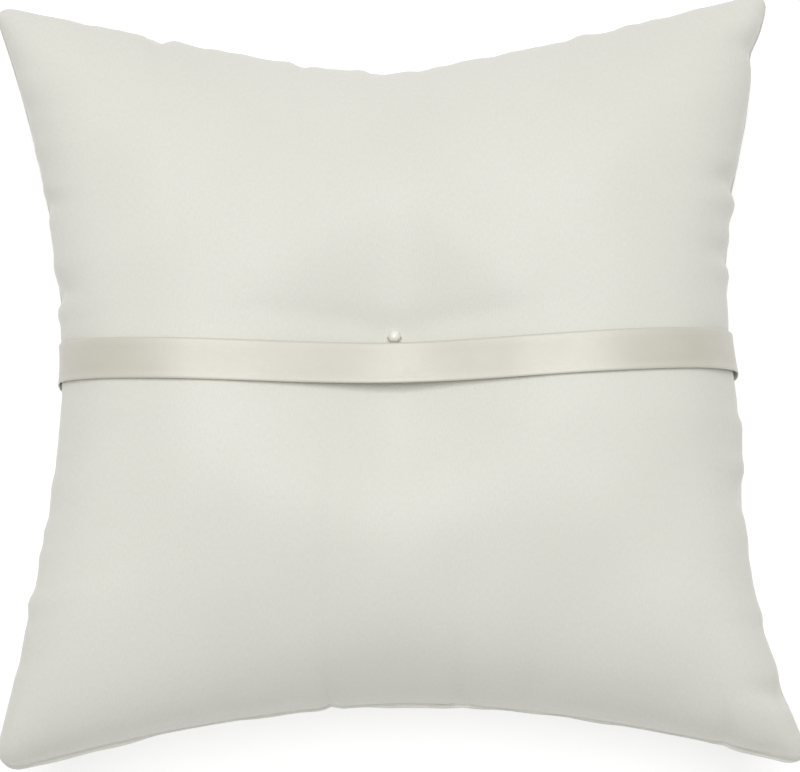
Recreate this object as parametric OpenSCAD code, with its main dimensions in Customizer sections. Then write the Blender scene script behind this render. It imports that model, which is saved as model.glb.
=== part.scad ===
// Ring bearer pillow: a square satin pillow with a pearl tuft and a ribbon band round its waist.
// Millimetres. It lies on its back: +Z is the dressed face, +Y is the top edge, the floor is Z = 0.

/* [Pillow] */
// Width over the corners of the top and bottom edges
corner_span_x = 201; // [180:1:220]
// Height over the corners of the side edges
corner_span_y = 197; // [178:1:218]
// Width between the pulled-in side edges
waist_x = 168; // [158:1:176]
// Height between the pulled-in top and bottom edges
waist_y = 162; // [152:1:172]
// How the edges sweep out to the corners: 1 is straight, 2 is round
side_sweep = 1.6; // [1.3:0.1:2]
// Height of the front above the seam, before the tuft pulls it in
front_rise = 36; // [30:1:38]
// Height of the seam above the floor
seam_height = 30; // [27:1:31]
// How far the back would bulge below the seam with no floor under it
back_fullness = 37; // [34:1:40]

/* [Cover] */
// Thickness of the satin
cloth_thickness = 0.4; // [0.3:0.05:0.5]
// Cloth turned in along the seam
seam_allowance = 8; // [6:0.5:10]

/* [Tuft and pearl] */
// Depth of the front dimple
tuft_depth = 8; // [7:0.5:9]
// Depth that the tuft takes from the back's bulge
back_tuft_depth = 13; // [12:0.5:14]
// Radius of both dimples
tuft_radius = 26; // [24:1:28]
// Diameter of the pearl
pearl_d = 3; // [2.5:0.1:3.5]
// Diameter of the hole through the pearl
pearl_hole_d = 0.7; // [0.6:0.05:0.8]
// Diameter of the tuft thread
tuft_thread_d = 0.5; // [0.3:0.05:0.5]

/* [Ribbon] */
// Width of the ribbon
ribbon_width = 10; // [9:0.5:10]
// Thickness of the ribbon
ribbon_thickness = 0.35; // [0.3:0.05:0.4]
// How far the ribbon's ends lap on the back
ribbon_lap = 12; // [10:1:14]
// How far the ribbon's front dips with the tuft
ribbon_dip = 4.6; // [4:0.1:4.6]
// How much higher the ribbon lies at the sides than under the pearl
ribbon_bow = 3; // [2:0.5:3]

/* [Stitching] */
// Stitches along each edge
stitches_per_side = 47; // [24:1:60]
// Hand stitches that close the gap the pillow was filled through
closing_stitches = 12; // [8:1:14]

/* [Hidden] */

ivory = [0.93, 0.92, 0.87];
ribbon_ivory = [0.90, 0.88, 0.82];
thread_ivory = [0.86, 0.85, 0.78];
fibre_white = [0.97, 0.97, 0.97];
pearl_cream = [0.98, 0.96, 0.88];

grid_steps = 20;           // strips across a panel, both ways
grid_spread = 1.25;        // above 1 packs the strips towards the middle and the edges
edge_roundness = 0.55;     // 0.5 makes each cross-section an ellipse
seam_inset = 1.5;          // from the seam to the inside of the turned cloth
channel_depth = 1.5;       // how far the ribbon presses into the back
channel_reach = 16;        // where that channel has faded out, either side of the middle
channel_slope = 5;
small_gap = 0.3;           // clearance between pieces that move on each other
ribbon_gap = 0.6;          // the ribbon's ease round the pillow
floor_gap = 0.05;          // the ribbon's underside to the floor
lap_gap = 0.05;            // between the ribbon's lapped ends
ribbon_step = 7.5;         // degrees between the ribbon's rings
seam_thread_d = 0.35;
stitch_inset = 0.9;        // the stitch line lies this far inside the edge
closing_span = 60;         // length of the closed gap
closing_stitch_height = 1.8;
closing_stitch_slant = 25;
knot_d = 1.8;
round_fn = 32;

ribbon_top_edge = ribbon_width / 2;
tuft_y = ribbon_top_edge + small_gap + pearl_d / 2;
front_tuft_z = seam_height + front_rise - tuft_depth;
back_tuft_z = seam_height - back_fullness + back_tuft_depth;
pearl_z = front_tuft_z + small_gap + pearl_d / 2;
row = grid_steps + 1;
rim_steps = 4 * grid_steps;

// ---- Shape of the pillow -------------------------------------------------------------------

// Half width at height v, and half height at width u, with u and v from -1 to 1
function half_x(v) = (waist_x + (corner_span_x - waist_x) * pow(abs(v), side_sweep)) / 2;
function half_y(u) = (waist_y + (corner_span_y - waist_y) * pow(abs(u), side_sweep)) / 2;

// The crown: 1 in the middle, 0 along the seam
function crown(u, v) = pow(max(0, (1 - u * u) * (1 - v * v)), edge_roundness);

// The tuft's pull: 1 at the pearl, fading outwards
function tuft_pull(x, y) = exp(-(x * x + pow(y - tuft_y, 2)) / pow(tuft_radius, 2));

// How much of the back's channel for the ribbon there is at height y
function channel(y) = channel_depth * max(0, min(1, (channel_reach - abs(y)) / channel_slope));

// Distance of the outer cloth from the seam plane
function front_depth(u, v, x, y) = crown(u, v) * (front_rise - tuft_depth * tuft_pull(x, y));
function back_depth(u, v, x, y) = min(
    crown(u, v) * (back_fullness - back_tuft_depth * tuft_pull(x, y)),
    seam_height - channel(y));

// Distance of the inner cloth from the seam plane: it starts above the turned-in allowance
function inner_depth(depth) =
    cloth_thickness + depth * (seam_height - 2 * cloth_thickness) / seam_height;

// A point of the pillow's surface. side is 1 for the front and -1 for the back.
function cover_point(u, v, side, inset) =
    let (x = u * half_x(v), y = v * half_y(u))
    let (depth = side > 0 ? front_depth(u, v, x, y) : back_depth(u, v, x, y))
    [
        u * (half_x(v) - inset),
        v * (half_y(u) - inset),
        seam_height + side * (inset > 0 ? inner_depth(depth) : depth)
    ];

// ---- Grids, rims and their faces -----------------------------------------------------------

function line_at(i) =
    let (s = 2 * i / grid_steps - 1)
    sign(s) * sin(90 * pow(abs(s), grid_spread));

function cover_grid(side, inset) = [
    for (i = [0 : grid_steps]) for (j = [0 : grid_steps])
        cover_point(line_at(i), line_at(j), side, inset)
];

// Grid place of rim step k, counted once round the edge
function rim_place(k) =
    let (side = floor(k / grid_steps), along = k % grid_steps)
    side == 0 ? [along, 0] :
    side == 1 ? [grid_steps, along] :
    side == 2 ? [grid_steps - along, grid_steps] :
    [0, grid_steps - along];

function rim_ring() = [for (k = [0 : rim_steps - 1]) rim_place(k)[0] * row + rim_place(k)[1]];

// The inner edge of the turned-in allowance, at height z
function allowance_edge(z) = [
    for (k = [0 : rim_steps - 1])
        let (u = line_at(rim_place(k)[0]), v = line_at(rim_place(k)[1]))
        [u * (half_x(v) - seam_allowance), v * (half_y(u) - seam_allowance), z]
];

function turned(face, flip) = flip ? [face[2], face[1], face[0]] : face;

function grid_faces(first, flip) = [
    for (i = [0 : grid_steps - 1]) for (j = [0 : grid_steps - 1])
        let (a = first + i * row + j, b = a + row)
        each [turned([a, b + 1, b], flip), turned([a, a + 1, b + 1], flip)]
];

// A band of faces between two rings of point numbers
function band_faces(ring_a, ring_b, flip) =
    let (n = len(ring_a))
    [
        for (k = [0 : n - 1])
            let (next = (k + 1) % n)
            each [
                turned([ring_a[k], ring_a[next], ring_b[next]], flip),
                turned([ring_a[k], ring_b[next], ring_b[k]], flip)
            ]
    ];

function shifted(ring, by) = [for (p = ring) p + by];
function numbers(first, count) = [for (k = [0 : count - 1]) first + k];

// ---- Sub-parts -----------------------------------------------------------------------------

// One cover panel: the cloth of a whole face, with its allowance turned in along the seam
module cover_panel(side) {
    outer = cover_grid(side, 0);
    inner = cover_grid(side, seam_inset);
    n = len(outer);
    edge_low = numbers(2 * n, rim_steps);
    edge_high = numbers(2 * n + rim_steps, rim_steps);
    back = side < 0;
    polyhedron(
        points = concat(
            outer,
            inner,
            allowance_edge(seam_height),
            allowance_edge(seam_height + side * cloth_thickness)),
        faces = concat(
            grid_faces(0, back),
            grid_faces(n, !back),
            band_faces(rim_ring(), edge_low, back),
            band_faces(edge_low, edge_high, back),
            band_faces(edge_high, shifted(rim_ring(), n), back)));
}

module front_panel() {
    color(ivory) cover_panel(1);
}

module back_panel() {
    color(ivory) cover_panel(-1);
}

// The polyester filling: it fills the cover and lies round the turned-in allowances
module fibre_fill() {
    front = cover_grid(1, seam_inset);
    n = len(front);
    front_edge = numbers(2 * n, rim_steps);
    back_edge = numbers(2 * n + rim_steps, rim_steps);
    color(fibre_white)
    polyhedron(
        points = concat(
            front,
            cover_grid(-1, seam_inset),
            allowance_edge(seam_height + cloth_thickness),
            allowance_edge(seam_height - cloth_thickness)),
        faces = concat(
            grid_faces(0, false),
            grid_faces(n, true),
            band_faces(rim_ring(), front_edge, false),
            band_faces(front_edge, back_edge, false),
            band_faces(back_edge, shifted(rim_ring(), n), false)));
}

// A point on an edge, with t from -1 to 1 along it, quarter turns counted from the right edge
function edge_point(side, t, inset) =
    side == 0 ? [half_x(t) - inset, t * (corner_span_y / 2 - inset)] :
    side == 1 ? [t * (corner_span_x / 2 - inset), half_y(t) - inset] :
    side == 2 ? [inset - half_x(t), t * (corner_span_y / 2 - inset)] :
    [t * (corner_span_x / 2 - inset), inset - half_y(t)];

// Lockstitch: each stitch runs along the seam and through both allowances
module seam_thread() {
    stitch_fill = 0.75;
    stitch_height = 2 * cloth_thickness + 0.2;
    color(thread_ivory)
    for (side = [0 : 3]) for (i = [0 : stitches_per_side - 1]) {
        from = edge_point(side, 2 * (i + 0.12) / stitches_per_side - 1, stitch_inset);
        to = edge_point(side, 2 * (i + 0.88) / stitches_per_side - 1, stitch_inset);
        run = to - from;
        translate([(from[0] + to[0]) / 2, (from[1] + to[1]) / 2, seam_height])
        rotate([0, 0, atan2(run[1], run[0])])
        cube([norm(run) * stitch_fill, seam_thread_d, stitch_height], center = true);
    }
}

// Slip stitches across the seam, in the middle of the bottom edge
module closing_thread() {
    color(thread_ivory)
    for (i = [0 : closing_stitches - 1]) {
        x = closing_span * ((i + 0.5) / closing_stitches - 0.5);
        y = -half_y(2 * x / corner_span_x);
        translate([x, y, seam_height])
        rotate([0, closing_stitch_slant, 0])
        cube([seam_thread_d, 2 * seam_thread_d, closing_stitch_height], center = true);
    }
}

// One thread up through the pillow, through the pearl, down again, and knotted on the back
module tuft_thread() {
    leg_x = pearl_d / 2 + small_gap + tuft_thread_d / 2;
    cross_d = 0.9 * tuft_thread_d;
    back_z = back_tuft_z - tuft_thread_d;
    color(thread_ivory)
    union() {
        for (x = [-leg_x, leg_x]) {
            translate([x, tuft_y, back_z - tuft_thread_d / 2])
            cylinder(d = tuft_thread_d, h = pearl_z - back_z + tuft_thread_d, $fn = round_fn);
        }
        for (z = [back_z, pearl_z]) {
            translate([-leg_x, tuft_y, z])
            rotate([0, 90, 0])
            cylinder(d = cross_d, h = 2 * leg_x, $fn = round_fn);
        }
        translate([0, tuft_y, back_z]) rotate([0, 90, 0]) sphere(d = knot_d, $fn = round_fn);
    }
}

module front_pearl() {
    color(pearl_cream)
    translate([0, tuft_y, pearl_z])
    rotate([0, 90, 0])
    difference() {
        sphere(d = pearl_d, $fn = round_fn);
        cylinder(d = pearl_hole_d, h = 2 * pearl_d, center = true, $fn = round_fn);
    }
}

// The ribbon's path: turn is 0 at the front's middle, 90 at the right edge and 180 at the back's.
// rise is the height above the ribbon's inner face.
function ribbon_point(turn, rise, y) =
    let (
        x = (waist_x / 2 + ribbon_gap + rise) * sin(turn),
        bend = pow(abs(cos(turn)), 2 * edge_roundness),
        dip = ribbon_dip * exp(-pow(x / tuft_radius, 2)),
        front_z = (front_rise + ribbon_gap + rise) * bend - dip,
        lap_lift = turn > 150 ? (ribbon_thickness + lap_gap) * min(1, (turn - 150) / 15) : 0,
        back_stop = seam_height - floor_gap - ribbon_thickness + rise,
        back_z = lap_lift - min((back_fullness + ribbon_gap + rise) * bend, back_stop),
        side_shift = ribbon_bow * (cos(turn) > 0 ? 1 - pow(cos(turn), 2) : 1)
    )
    [x, y + side_shift, seam_height + (cos(turn) > 0 ? front_z : back_z)];

// One strip of ribbon all the way round, its ends lapped on the back
module ribbon_band() {
    lap_turn = asin(ribbon_lap / waist_x);
    inner_turns = [for (turn = [-180 + ribbon_step : ribbon_step : 180 - ribbon_step]) turn];
    turns = concat([-180 - lap_turn, -180], inner_turns, [180, 180 + lap_turn]);
    low = -ribbon_width / 2;
    high = ribbon_width / 2;
    points = [
        for (turn = turns) each [
            ribbon_point(turn, 0, low),
            ribbon_point(turn, 0, high),
            ribbon_point(turn, ribbon_thickness, high),
            ribbon_point(turn, ribbon_thickness, low)
        ]
    ];
    rings = len(turns);
    sides = [
        for (k = [0 : rings - 2])
            each band_faces(numbers(4 * k, 4), numbers(4 * k + 4, 4), true)
    ];
    ends = [[0, 1, 2], [0, 2, 3], shifted([2, 1, 0], 4 * rings - 4), shifted([3, 2, 0], 4 * rings - 4)];
    color(ribbon_ivory) polyhedron(points = points, faces = concat(sides, ends));
}

// Two rows of stitches through the ribbon's lap
module ribbon_join_thread() {
    stitch_rows = 4;
    stitch_length = 1.5;
    row_x = ribbon_lap / 2 - 2;
    bottom = floor_gap - 0.02;
    top = floor_gap + 2 * ribbon_thickness + lap_gap + 0.1;
    color(thread_ivory)
    for (x = [-row_x, row_x]) for (i = [0 : stitch_rows - 1]) {
        y = ribbon_bow + (ribbon_width - 2) * ((i + 0.5) / stitch_rows - 0.5);
        translate([x, y, (bottom + top) / 2])
        cube([seam_thread_d, stitch_length, top - bottom], center = true);
    }
}

front_panel();
back_panel();
fibre_fill();
seam_thread();
closing_thread();
tuft_thread();
front_pearl();
ribbon_band();
ribbon_join_thread();
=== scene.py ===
"""Ring bearer pillow in ivory satin, with a pearl tuft and a ribbon band, built round the frame."""
import math

import bpy
import numpy as np
from mathutils import Matrix, Vector
from mathutils.bvhtree import BVHTree


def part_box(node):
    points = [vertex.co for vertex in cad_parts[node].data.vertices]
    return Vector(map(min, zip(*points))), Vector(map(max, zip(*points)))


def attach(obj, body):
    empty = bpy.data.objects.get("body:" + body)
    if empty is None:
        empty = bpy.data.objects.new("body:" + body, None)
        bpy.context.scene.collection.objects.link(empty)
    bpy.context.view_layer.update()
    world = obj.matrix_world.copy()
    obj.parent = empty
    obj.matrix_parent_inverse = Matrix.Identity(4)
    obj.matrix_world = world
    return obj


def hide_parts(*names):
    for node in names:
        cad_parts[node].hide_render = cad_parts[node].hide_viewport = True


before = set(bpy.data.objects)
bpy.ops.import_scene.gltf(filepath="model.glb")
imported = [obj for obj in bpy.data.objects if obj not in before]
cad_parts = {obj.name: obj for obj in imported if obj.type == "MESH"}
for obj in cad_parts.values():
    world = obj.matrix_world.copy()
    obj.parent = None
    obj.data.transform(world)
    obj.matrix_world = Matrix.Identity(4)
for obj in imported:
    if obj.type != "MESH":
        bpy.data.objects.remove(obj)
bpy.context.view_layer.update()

MM = 0.001

# ---- Places and sizes taken from the frame ---------------------------

PANEL_LOW, PANEL_HIGH = (Vector(c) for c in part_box("front_panel"))
PEARL_LOW, PEARL_HIGH = (Vector(c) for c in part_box("front_pearl"))
THREAD_LOW = Vector(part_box("tuft_thread")[0])

SEAM_Z = PANEL_LOW.z
CORNER_X = PANEL_HIGH.x
CORNER_Y = PANEL_HIGH.y
PEARL = (PEARL_LOW + PEARL_HIGH) / 2
PEARL_R = (PEARL_HIGH.z - PEARL_LOW.z) / 2

# ---- The cover's cut and the shape it is stuffed to ------------------

CUT = 203 * MM               # side of each square panel between the seams
WAIST_X = 84 * MM            # half width between the pulled-in side edges
WAIST_Y = 81 * MM            # half height between the pulled-in top and bottom edges
SWEEP = 1.6                  # how the edges run out to the corners
FRONT_RISE = 36 * MM         # crown of the front above the seam
BACK_RISE = 34 * MM          # crown of the back below the seam, with no floor under it
ROUNDNESS = 0.5              # of the first guess: 0.5 makes each cross-section an ellipse
TUFT_RADIUS = 26 * MM
TUFT_DEPTH = 8 * MM
BACK_TUFT_DEPTH = 10 * MM
TUFT_HELD = 2.4 * MM         # the cloth this near the thread is held still
SATIN_THICKNESS = 0.45 * MM

SIM_STEPS = 64               # cloth squares along each side of a panel
SIM_FRAMES = 26
CLOTH = {
    "quality": 8, "mass": 0.3,
    "tension_stiffness": 200, "compression_stiffness": 60, "shear_stiffness": 30,
    "bending_stiffness": 5, "tension_damping": 5, "compression_damping": 5, "shear_damping": 5,
    "air_damping": 5, "use_pressure": True, "uniform_pressure_force": 8,
}


def clamp01(x):
    return np.clip(x, 0.0, 1.0)


def smooth_step(x):
    x = clamp01(x)
    return x * x * (3 - 2 * x)


def hump(t, width):
    return np.exp(-(t / width) ** 2)


def unit(vectors):
    return vectors / np.maximum(np.linalg.norm(vectors, axis=-1, keepdims=True), 1e-12)


def run_along(path):
    """Distance along a path, at each of its points."""
    return np.concatenate([[0], np.cumsum(np.linalg.norm(np.diff(path, axis=0), axis=1))])


def points_at(places, ruler, path):
    """Points of a path at the given places, where its own points lie at the ruler's."""
    return np.stack([np.interp(places, ruler, path[:, k]) for k in range(path.shape[1])], axis=-1)


def add_object(name, data):
    added = bpy.data.objects.new(name, data)
    bpy.context.scene.collection.objects.link(added)
    return added


def half_x(v):
    return WAIST_X + (CORNER_X - WAIST_X) * np.abs(v) ** SWEEP


def half_y(u):
    return WAIST_Y + (CORNER_Y - WAIST_Y) * np.abs(u) ** SWEEP


def tuft_pull(x, y, radius=TUFT_RADIUS):
    return np.exp(-(x ** 2 + (y - PEARL.y) ** 2) / radius ** 2)


def stuffed_guess(u, v, side):
    """A first guess at the stuffed shape, for the cloth to settle from. side is 1 front, -1 back."""
    x = u * half_x(v)
    y = v * half_y(u)
    rise = FRONT_RISE if side > 0 else BACK_RISE
    depth = TUFT_DEPTH if side > 0 else BACK_TUFT_DEPTH
    crown = np.clip((1 - u ** 2) * (1 - v ** 2), 0, 1) ** ROUNDNESS
    z = SEAM_Z + side * crown * (rise - depth * tuft_pull(x, y))
    return np.stack([x, y, z], axis=-1)


# ---- The cloth simulation --------------------------------------------

def sewn_numbers(steps):
    """Vertex numbers of the two panels' grids, which share the vertices of the seam."""
    count = (steps + 1) ** 2
    front = np.arange(count).reshape(steps + 1, steps + 1)
    back = front.copy()
    inner = (steps - 1) ** 2
    back[1:-1, 1:-1] = count + np.arange(inner).reshape(steps - 1, steps - 1)
    return front, back, count + inner


def grid_faces(numbers, flip):
    a = numbers[:-1, :-1].ravel()
    b = numbers[1:, :-1].ravel()
    c = numbers[1:, 1:].ravel()
    d = numbers[:-1, 1:].ravel()
    quads = np.stack([a, b, c, d], axis=1)
    return quads[:, ::-1] if flip else quads


def settle_cover():
    """Two square panels sewn along their edges, blown up by their filling and held at the tuft."""
    steps = SIM_STEPS
    front, back, count = sewn_numbers(steps)
    line = np.linspace(-1, 1, steps + 1)
    u, v = np.meshgrid(line, line, indexing="ij")
    start = np.zeros((count, 3))
    flat = np.zeros((count, 3))
    for numbers, side in ((back, -1), (front, 1)):
        start[numbers] = stuffed_guess(u, v, side)
        flat[numbers] = np.stack([u * CUT / 2, v * CUT / 2, np.full_like(u, SEAM_Z)], axis=-1)

    mesh = bpy.data.meshes.new("cover_simulation")
    faces = np.concatenate([grid_faces(front, False), grid_faces(back, True)])
    mesh.from_pydata(start.tolist(), [], faces.tolist())
    cover = add_object("cover_simulation", mesh)
    cover.shape_key_add(name="Basis")
    pattern = cover.shape_key_add(name="pattern")
    pattern.data.foreach_set("co", flat.ravel())

    held = cover.vertex_groups.new(name="held")
    near = np.hypot(start[:, 0], start[:, 1] - PEARL.y) < TUFT_HELD
    held.add([int(i) for i in np.nonzero(near)[0]], 1.0, "REPLACE")

    cloth = cover.modifiers.new("cloth", "CLOTH")
    cloth.collision_settings.use_collision = False
    cloth.collision_settings.use_self_collision = False
    settings = cloth.settings
    for name, value in CLOTH.items():
        setattr(settings, name, value)
    settings.effector_weights.gravity = 0
    settings.rest_shape_key = pattern
    settings.vertex_group_mass = held.name

    scene = bpy.context.scene
    frames = SIM_FRAMES
    scene.frame_start = 1
    scene.frame_end = frames
    cloth.point_cache.frame_start = 1
    cloth.point_cache.frame_end = frames
    for number in range(1, frames + 1):
        scene.frame_set(number)
    settled = cover.evaluated_get(bpy.context.evaluated_depsgraph_get())
    points = np.empty(count * 3)
    settled.to_mesh().vertices.foreach_get("co", points)
    points = points.reshape(-1, 3)
    settled.to_mesh_clear()
    bpy.data.objects.remove(cover)
    bpy.data.meshes.remove(mesh)
    scene.frame_set(1)
    return points[front], points[back]


# ---- Fitting the settled cloth ---------------------------------------

def cubic_rows(grid, places):
    """Rows of grid at fractional row numbers, by Catmull-Rom curves."""
    n = len(grid)
    low = np.clip(np.floor(places).astype(int), 0, n - 2)
    t = (places - low)[:, None, None]
    padded = np.concatenate([[2 * grid[0] - grid[1]], grid, [2 * grid[-1] - grid[-2]]])
    p0, p1, p2, p3 = (padded[low + k] for k in range(4))
    bend = 2 * p0 - 5 * p1 + 4 * p2 - p3
    return p1 + 0.5 * t * (p2 - p0 + t * (bend + t * (3 * (p1 - p2) + p3 - p0)))


def resample(grid, lines):
    """grid at new lines, each from -1 to 1 across the panel."""
    places = (lines + 1) / 2 * (len(grid) - 1)
    rows = cubic_rows(grid, places)
    return cubic_rows(rows.transpose(1, 0, 2), places).transpose(1, 0, 2)


def panel_lines():
    """Grid lines of the finished panels: closer together beside the seam."""
    near_seam = np.array([0.0, 0.45, 0.95, 1.5, 2.2, 3.1, 4.3]) * MM
    inner = CUT / 2 - 5.8 * MM
    middle = np.linspace(-inner, inner, 121)
    lines = np.concatenate([near_seam - CUT / 2, middle, CUT / 2 - near_seam[::-1]])
    return lines / (CUT / 2)


# Each corner's place, in mm past the frame's own corner along X and Y
CORNER_SHIFT = {
    "bottom_left": (-1.2, 1.2),
    "bottom_right": (0.7, 0.3),
    "top_left": (-1.3, 0.3),
    "top_right": (-2.4, 0.1),
}
# How far along its edges each rounded corner runs, in mm
CORNER_ROUND = {"bottom_left": 9, "bottom_right": 5, "top_left": 6, "top_right": 6}
# Each edge's middle, in mm off its waist, and how it sweeps out to its first and last corner
EDGE_MIDDLE = {"left": -0.1, "right": 0.1, "bottom": -0.1, "top": 0.2}
EDGE_SWEEP = {"left": (1.45, 1.9), "right": (2.3, 2.1), "bottom": (1.75, 1.65), "top": (1.1, 1.1)}
EDGE_SOFTENING = 0.12        # rounds off the middle of each edge, where the two sweeps meet
# Nips where the seam gathers, and a bulge where the depth is below 0: the edge, the place along it
# from -1 to 1, its depth in mm, its width, and the depth in mm of the fold that runs in from it
NIPS = [
    ("right", -0.18, -2.6, 0.21, 0.0),
    ("right", 0.84, 1.3, 0.04, 0.7),
    ("right", 0.66, -1.0, 0.13, 0.0),
    ("right", 0.48, 0.3, 0.03, 1.6),
    ("right", 0.29, 0.2, 0.03, 1.6),
    ("right", -0.33, 0.2, 0.045, 2.0),
    ("right", -0.83, 0.4, 0.03, 1.7),
    ("left", 0.45, 0.2, 0.03, 1.3),
    ("left", 0.21, 0.2, 0.035, 1.8),
    ("left", -0.72, 0.2, 0.05, 0.4),
    ("bottom", -0.17, 0.9, 0.018, 0.7),
    ("bottom", 0.16, 0.5, 0.03, 0.6),
    ("bottom", 0.80, 0.5, 0.02, 0.6),
    ("top", 0.05, 0.9, 0.09, 0.0),
    ("top", -0.57, 0.9, 0.03, 0.4),
    ("top", -0.21, 0.5, 0.02, 0.3),
]
FOLD_REACH = 9 * MM          # how far the folds run in from the seam


def corner(name):
    sign_x = -1 if "left" in name else 1
    sign_y = -1 if "bottom" in name else 1
    dx, dy = CORNER_SHIFT[name]
    return np.array([sign_x * CORNER_X + dx * MM, sign_y * CORNER_Y + dy * MM])


def edge_target(edge, lines):
    """One edge's outline at the panel's lines: pulled in at its middle, swept out to its corners."""
    if edge in ("left", "right"):
        across, first, last = 0, corner("bottom_" + edge), corner("top_" + edge)
    else:
        across, first, last = 1, corner(edge + "_left"), corner(edge + "_right")
    along = 1 - across
    sign = 1 if edge in ("right", "top") else -1
    middle = sign * (WAIST_X if across == 0 else WAIST_Y) + EDGE_MIDDLE[edge] * MM
    end_across = np.where(lines < 0, first[across], last[across])
    sweep = np.where(lines < 0, *EDGE_SWEEP[edge])
    rounded = (lines ** 2 + EDGE_SOFTENING ** 2) ** (sweep / 2)
    least = EDGE_SOFTENING ** sweep
    share = (rounded - least) / ((1 + EDGE_SOFTENING ** 2) ** (sweep / 2) - least)
    points = np.empty((len(lines), 2))
    points[:, across] = middle + (end_across - middle) * share
    points[:, along] = first[along] + (last[along] - first[along]) * (lines + 1) / 2
    for nip_edge, place, depth, width, _ in NIPS:
        if nip_edge == edge:
            points[:, across] -= sign * depth * MM * hump(lines - place, width)
    return points


def round_corner(first, second, reach):
    """Rounds the corner where two edges' points meet, each given from the corner outwards."""
    corner_point = first[0].copy()
    ends = []
    for edge in (first, second):
        away = np.linalg.norm(edge - corner_point, axis=1)
        ends.append((edge, away, points_at(reach, away, edge)))
    for (edge, away, end), (_, _, other) in (ends, ends[::-1]):
        t = 0.5 * (1 - away / reach)[:, None]
        arc = (1 - t) ** 2 * end + 2 * t * (1 - t) * corner_point + t ** 2 * other
        edge[:] = np.where(t > 0, arc, edge)


def fit_outline(front, back, lines):
    """Moves both panels, smoothly and together, so that the seam follows its outline."""
    edges = {
        "left": front[0, :, :2],
        "right": front[-1, :, :2],
        "bottom": front[:, 0, :2],
        "top": front[:, -1, :2],
    }
    target = {name: edge_target(name, lines) for name in edges}
    for name, reach in CORNER_ROUND.items():
        b, a = name.split("_")
        along_a = target[a] if b == "bottom" else target[a][::-1]
        along_b = target[b] if a == "left" else target[b][::-1]
        round_corner(along_a, along_b, reach * MM)
    move = {name: target[name] - now for name, now in edges.items()}
    share = (lines + 1) / 2
    across = share[:, None, None]
    up = share[None, :, None]
    moved = (
        (1 - across) * move["left"][None] + across * move["right"][None]
        + (1 - up) * move["bottom"][:, None] + up * move["top"][:, None]
        - (1 - across) * (1 - up) * move["left"][0]
        - across * (1 - up) * move["right"][0]
        - (1 - across) * up * move["left"][-1]
        - across * up * move["right"][-1]
    )
    for grid in (front, back):
        grid[:, :, :2] += moved


def relax(grid, passes, weight):
    """Evens out a grid's points, each towards the mean of its four neighbours, by weight."""
    for _ in range(passes):
        mean = grid.copy()
        beside = grid[:-2, 1:-1] + grid[2:, 1:-1] + grid[1:-1, :-2] + grid[1:-1, 2:]
        mean[1:-1, 1:-1] = beside / 4
        grid += weight[:, :, None] * (mean - grid)


def surface_normals(grid, side):
    along_x = np.gradient(grid, axis=0)
    along_y = np.gradient(grid, axis=1)
    return unit(np.cross(along_x, along_y) * side)


def edge_distance(lines):
    """Cloth distance of each grid point from the nearest seam."""
    from_edge = CUT / 2 * (1 - np.abs(lines))
    return np.minimum(from_edge[:, None], from_edge[None, :])


# ---- Small shapes in the cloth ---------------------------------------

SEAM_LIP = 0.25 * MM         # the stiff turned-in edge stands this far out along the seam
BOTTOM_LIP = 0.55 * MM       # and this much further along the bottom edge, closed by hand
BACK_LIP = 0.7 * MM          # the back's edge rolls out past the front's along the bottom, at most
SEAM_LIP_REACH = 1.3 * MM
FOLD_RADIUS = 0.42 * MM      # of the turned-in cloth, measured to its outside
FOLD_GAP = 0.04 * MM         # from the seam plane to each panel's turned-in cloth
PUCKER_DEPTH = 0.55 * MM
PUCKER_REACH = 9 * MM
LUMP_HEIGHT = 0.55 * MM

CROWN_EXTRA = 6.4 * MM       # without its hollow the crown stands this far over the frame's panel
CROWN_SHARE = 0.8            # how far the stuffed height follows the rounder crown of loose fibre
THIN_CORNERS = 0.12          # the filling runs out towards the corners
CORNER_LIFT = 8 * MM         # the empty corners stand this much over the level of the seam
TIED_DOWN = 0.15 * MM        # the cloth under the pearl lies this far below the bead,
TIE_RADIUS = 15 * MM         # evened out over this far round it
FAN_REACH = 34 * MM          # the hollow over the pearl fans out up to here, along Y
FAN_LEFT = 39 * MM           # how fast it narrows to either side
FAN_RIGHT = 34 * MM
FAN_TIP = 5 * MM             # and how round its upper end is
FAN_SLOPE = 0.32             # of its upper edge, which eases off
FAN_FALL = 60 * MM           # over about this far down
FAN_SIDES = 0.85             # share of that slope away from the middle,
FAN_EXTRA = 0.15             # what the middle adds to it,
FAN_MIDDLE = 20 * MM         # and the half-width of the steeper middle
UNDER_LEVEL = 16 * MM        # below the pearl the hollow stays level under the ribbon's travel
UNDER_REACH = 22 * MM        # and then runs out
GROOVE_DEPTH = 0.9 * MM      # the cloth turns down to the ribbon's top edge beside the pearl
LOWER_DIP = 1.0 * MM         # a short hollow below the ribbon, under the pearl
LID_HEIGHT = 0.55 * MM       # the roll of cloth along the ribbon's top edge


def crown(u, v):
    """Height of the loose filling, 0 at the seams and 1 in the middle: flatter across than up."""
    fuller = np.where(u > 0, 1.0, 0.0)         # the right half is packed a little squarer
    across = (1 - np.abs(u) ** (3 + fuller + v ** 2)) ** (0.32 + 0.08 * fuller + 0.1 * v ** 2)
    slacker = np.where(v < 0, 1.0, 0.0)        # and the lower half falls away a little sooner
    up_power = 2.5 - 0.4 * slacker + (2 + 1.5 * slacker) * u ** 2
    up = (1 - np.abs(v) ** up_power) ** (0.70 + 0.05 * slacker - 0.2 * u ** 2)
    return across * up * (1 - THIN_CORNERS * np.abs(u * v))


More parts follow.
